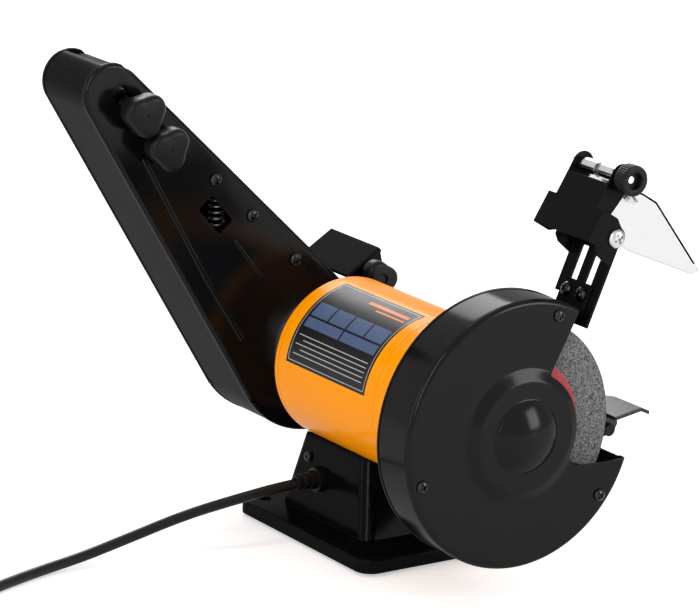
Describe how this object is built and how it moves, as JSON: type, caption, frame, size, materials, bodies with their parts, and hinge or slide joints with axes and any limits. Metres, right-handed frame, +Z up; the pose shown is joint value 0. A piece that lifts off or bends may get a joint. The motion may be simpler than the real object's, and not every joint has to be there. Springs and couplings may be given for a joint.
{
  "type": "bench grinder",
  "caption": "Bench grinder with a guarded abrasive wheel and eye shield at one end of its motor and a tilting belt-sander arm at the other, on a pressed-steel stand.",
  "frame": {"origin": "centre of the stand's footprint, on the bench", "axes": "+X along the spindle from the grinding wheel to the belt arm, +Y to the back where the lead leaves, +Z up"},
  "size_m": [0.3276, 0.5244, 0.3245],
  "materials": {
    "aluminium": "machined",
    "belt": "coated abrasive cloth",
    "black_paint": "satin black enamel",
    "black_plastic": "moulded",
    "black_steel": "blackened",
    "bright_steel": "zinc plated",
    "chrome": "polished",
    "clear": "clear sheet",
    "copper": "enamelled wire",
    "cord": "satin",
    "dark_steel": "oiled",
    "gloss_black": "gloss black enamel",
    "grey_wheel": "coarse vitrified grit",
    "label_paper": "printed paper washer",
    "orange_paint": "gloss enamel with a light orange peel",
    "red_plastic": "moulded",
    "rubber": "matt"
  },
  "bodies": {
    "stand": {"base_housing": "gloss_black", "base_bottom_plate": "black_paint", "rubber_feet": "rubber", "stand_screws": "black_steel", "switch_housing": "black_plastic", "run_capacitor": "aluminium", "strain_relief": "black_plastic", "power_cord": "cord", "power_cord_coil": "cord", "mains_plug": "black_plastic", "plug_pins": "chrome", "motor_shell": "orange_paint", "left_end_shield": "orange_paint", "right_end_shield": "orange_paint", "motor_tie_bolts": "bright_steel", "stator_core": "dark_steel", "stator_windings": "copper", "spindle_bearings": "bright_steel", "guard_housing": "gloss_black", "guard_cover": "gloss_black", "guard_screws": "black_steel", "deflector_screws": "black_steel", "rest_support_arm": "black_paint", "rest_support_bolts": "bright_steel"},
    "spindle": {"spindle_shaft": "dark_steel", "rotor_core": "dark_steel", "wheel_flanges": "bright_steel", "wheel_paper_labels": "label_paper", "grinding_wheel": "grey_wheel", "spindle_nuts": "bright_steel", "drive_wheel": "aluminium"},
    "rocker": {"switch_rocker": "red_plastic"},
    "deflector": {"spark_deflector": "black_paint"},
    "bracket": {"shield_bracket": "black_paint", "shield_pivot_screws": "bright_steel", "shield_hinge_bolt": "chrome"},
    "shield": {"eye_shield": "clear", "shield_clip": "chrome", "shield_clamp": "dark_steel"},
    "shield_knob": {"shield_knob": "black_plastic"},
    "rest": {"tool_rest": "black_paint"},
    "rest_knob": {"rest_knob": "black_plastic"},
    "arm": {"arm_inner_cover": "gloss_black", "arm_back_wall": "gloss_black", "arm_outer_cover": "gloss_black", "arm_hub": "aluminium", "arm_clamp_bolt": "bright_steel", "platen": "black_paint", "platen_screws": "black_steel", "abrasive_belt": "belt", "tension_spring": "dark_steel", "table_bracket": "black_paint", "table_bracket_screws": "black_steel"},
    "idler_carrier": {"idler_carrier": "bright_steel"},
    "idler": {"idler_roller": "aluminium", "idler_bearings": "bright_steel"},
    "tension_knob": {"tension_knob": "black_plastic"},
    "tracking_knob": {"tracking_knob": "black_plastic"},
    "table": {"belt_table": "black_paint"},
    "table_knob": {"table_knob": "black_plastic"}
  },
  "joints": [
    {"name": "spindle_spin", "type": "hinge", "parent": "stand", "child": "spindle", "pos_m": [0, 0, 0.1128], "axis": [1, 0, 0], "continuous": true},
    {"name": "idler_spin", "type": "hinge", "parent": "idler_carrier", "child": "idler", "pos_m": [0.105, 0.15774, 0.30315], "axis": [1, 0, 0], "continuous": true},
    {"name": "arm_tilt", "type": "hinge", "parent": "stand", "child": "arm", "pos_m": [0.06, 0, 0.1128], "axis": [1, 0, 0], "range_deg": [-45, 40]},
    {"name": "belt_tension", "type": "slide", "parent": "arm", "child": "idler_carrier", "axis": [0, 0.6521, 0.7581], "range_m": [-0.008, 0], "stiffness_N_per_m": 1800, "springref_m": 0.004},
    {"name": "deflector_slide", "type": "slide", "parent": "stand", "child": "deflector", "axis": [0, -0.3936, 0.9193], "range_m": [-0.004, 0.006]},
    {"name": "bracket_tilt", "type": "hinge", "parent": "deflector", "child": "bracket", "pos_m": [-0.1448, -0.06049, 0.23809], "axis": [1, 0, 0], "range_deg": [-15, 20]},
    {"name": "shield_tilt", "type": "hinge", "parent": "bracket", "child": "shield", "pos_m": [-0.1448, -0.0695, 0.27563], "axis": [1, 0, 0], "range_deg": [-75, 15]},
    {"name": "shield_knob_turn", "type": "hinge", "parent": "bracket", "child": "shield_knob", "pos_m": [-0.174, -0.0695, 0.27563], "axis": [1, 0, 0], "range_deg": [-180, 180]},
    {"name": "rest_slide", "type": "slide", "parent": "stand", "child": "rest", "axis": [0, 1, 0], "range_m": [-0.004, 0.001]},
    {"name": "rest_knob_turn", "type": "hinge", "parent": "rest", "child": "rest_knob", "pos_m": [-0.122, -0.0915, 0.0958], "axis": [1, 0, 0], "range_deg": [-180, 180]},
    {"name": "tension_knob_turn", "type": "hinge", "parent": "arm", "child": "tension_knob", "pos_m": [0.063, 0.13035, 0.26726], "axis": [1, 0, 0], "range_deg": [-180, 180]},
    {"name": "tracking_knob_turn", "type": "hinge", "parent": "arm", "child": "tracking_knob", "pos_m": [0.063, 0.14884, 0.29198], "axis": [1, 0, 0], "range_deg": [-180, 180]},
    {"name": "table_slide", "type": "slide", "parent": "arm", "child": "table", "axis": [0, -0.848, 0.5299], "range_m": [0, 0.008]},
    {"name": "table_knob_turn", "type": "hinge", "parent": "arm", "child": "table_knob", "pos_m": [0.064, -0.04107, 0.15737], "axis": [1, 0, 0], "range_deg": [-180, 180]},
    {"name": "switch_rock", "type": "hinge", "parent": "stand", "child": "rocker", "pos_m": [0.007, -0.03302, 0.03815], "axis": [1, 0, 0], "range_deg": [0, 14]}
  ],
  "couplings": [
    {"joint": "idler_spin", "follows": "spindle_spin", "ratio": 2.75}
  ]
}
